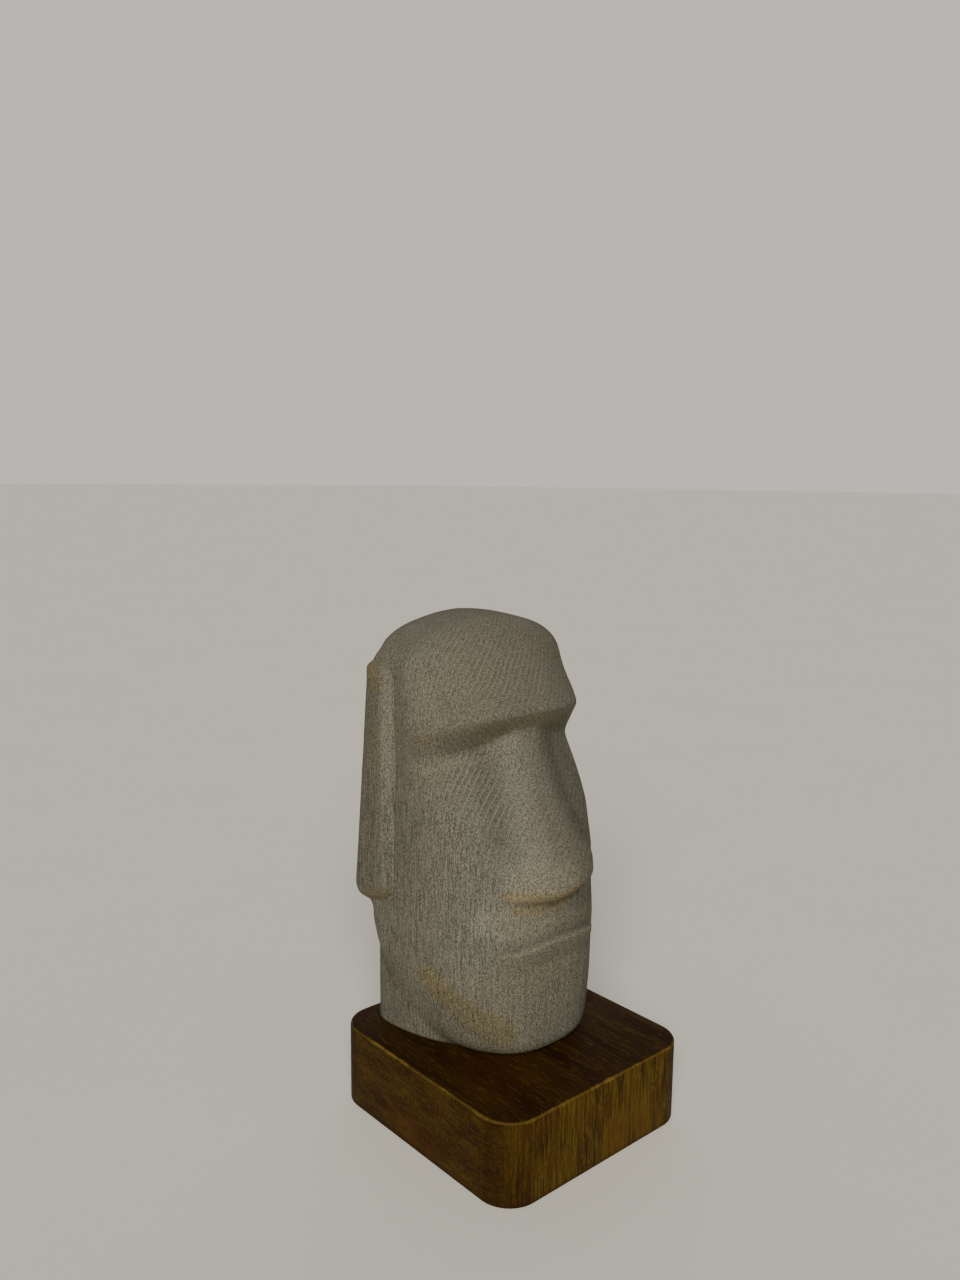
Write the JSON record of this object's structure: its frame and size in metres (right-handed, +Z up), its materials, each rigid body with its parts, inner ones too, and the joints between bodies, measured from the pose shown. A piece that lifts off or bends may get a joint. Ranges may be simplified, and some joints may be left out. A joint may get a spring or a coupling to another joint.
{
  "type": "wooden moai statue",
  "caption": "Carved wooden moai head with heavy brow, long nose and long ears, standing on a dark stained wooden plinth with rounded corners.",
  "frame": {"origin": "middle of the plinth's underside", "axes": "+Z up, the face looks along -Y, +X towards the statue's left ear"},
  "size_m": [0.08, 0.084, 0.1634],
  "materials": {
    "grey_stained_wood": "matt grey stain over open, ring-porous grain, rubbed to bare ochre wood on edges and undersides",
    "dark_stained_wood": "satin dark walnut stain, worn lighter along the top edges"
  },
  "bodies": {
    "root": {"moai_head": "grey_stained_wood", "plinth": "dark_stained_wood"}
  },
  "joints": []
}
